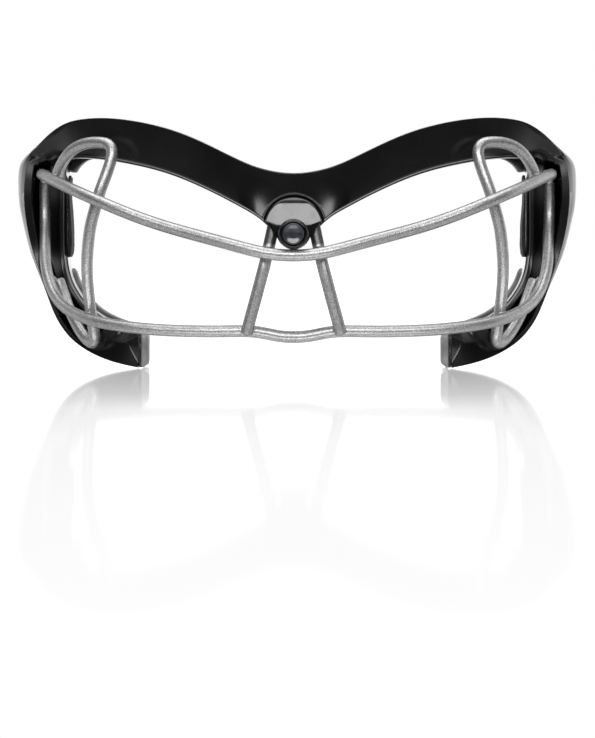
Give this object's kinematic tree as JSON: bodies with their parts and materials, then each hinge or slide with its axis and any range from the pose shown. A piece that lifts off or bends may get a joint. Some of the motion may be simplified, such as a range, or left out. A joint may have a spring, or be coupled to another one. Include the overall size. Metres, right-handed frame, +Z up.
{
  "type": "lacrosse goggles",
  "caption": "Protective sports goggles with a moulded frame, a welded wire cage over the eyes, a bolted bridge, soft face pads and slotted wings for a head strap.",
  "frame": {"origin": "middle of the footprint of the bounding box, at the height of the surface the cheek arms stand on", "axes": "+X to the wearer's left, -Y the way the wearer faces (front of the cage), +Z up"},
  "size_m": [0.1626, 0.096, 0.0692],
  "materials": {
    "frame_gloss": "glossy black moulding",
    "cover_gloss": "polished black",
    "collar_gloss": "polished black",
    "bolt_dark": "dark polished",
    "bright_steel": "bright zinc",
    "cage_silver": "satin silver paint with fine grain",
    "silicone_pale": "matte silicone",
    "silicone_grey": "matte silicone",
    "temple_foam": "fine textured foam"
  },
  "bodies": {
    "root": {"frame": "frame_gloss", "bridge_cover": "cover_gloss", "bridge_collar": "collar_gloss", "bridge_bolt": "bolt_dark", "bridge_washer": "bright_steel", "bridge_nut": "bright_steel", "upper_wire": "cage_silver", "lower_wire": "cage_silver", "left_loop_wire": "cage_silver", "right_loop_wire": "cage_silver", "nose_wire": "cage_silver", "cage_welds": "cage_silver", "left_brow_pad": "silicone_pale", "right_brow_pad": "silicone_pale", "nose_pad": "silicone_grey", "left_cheek_pad": "silicone_grey", "right_cheek_pad": "silicone_grey", "left_temple_pad": "temple_foam", "right_temple_pad": "temple_foam"}
  },
  "joints": []
}
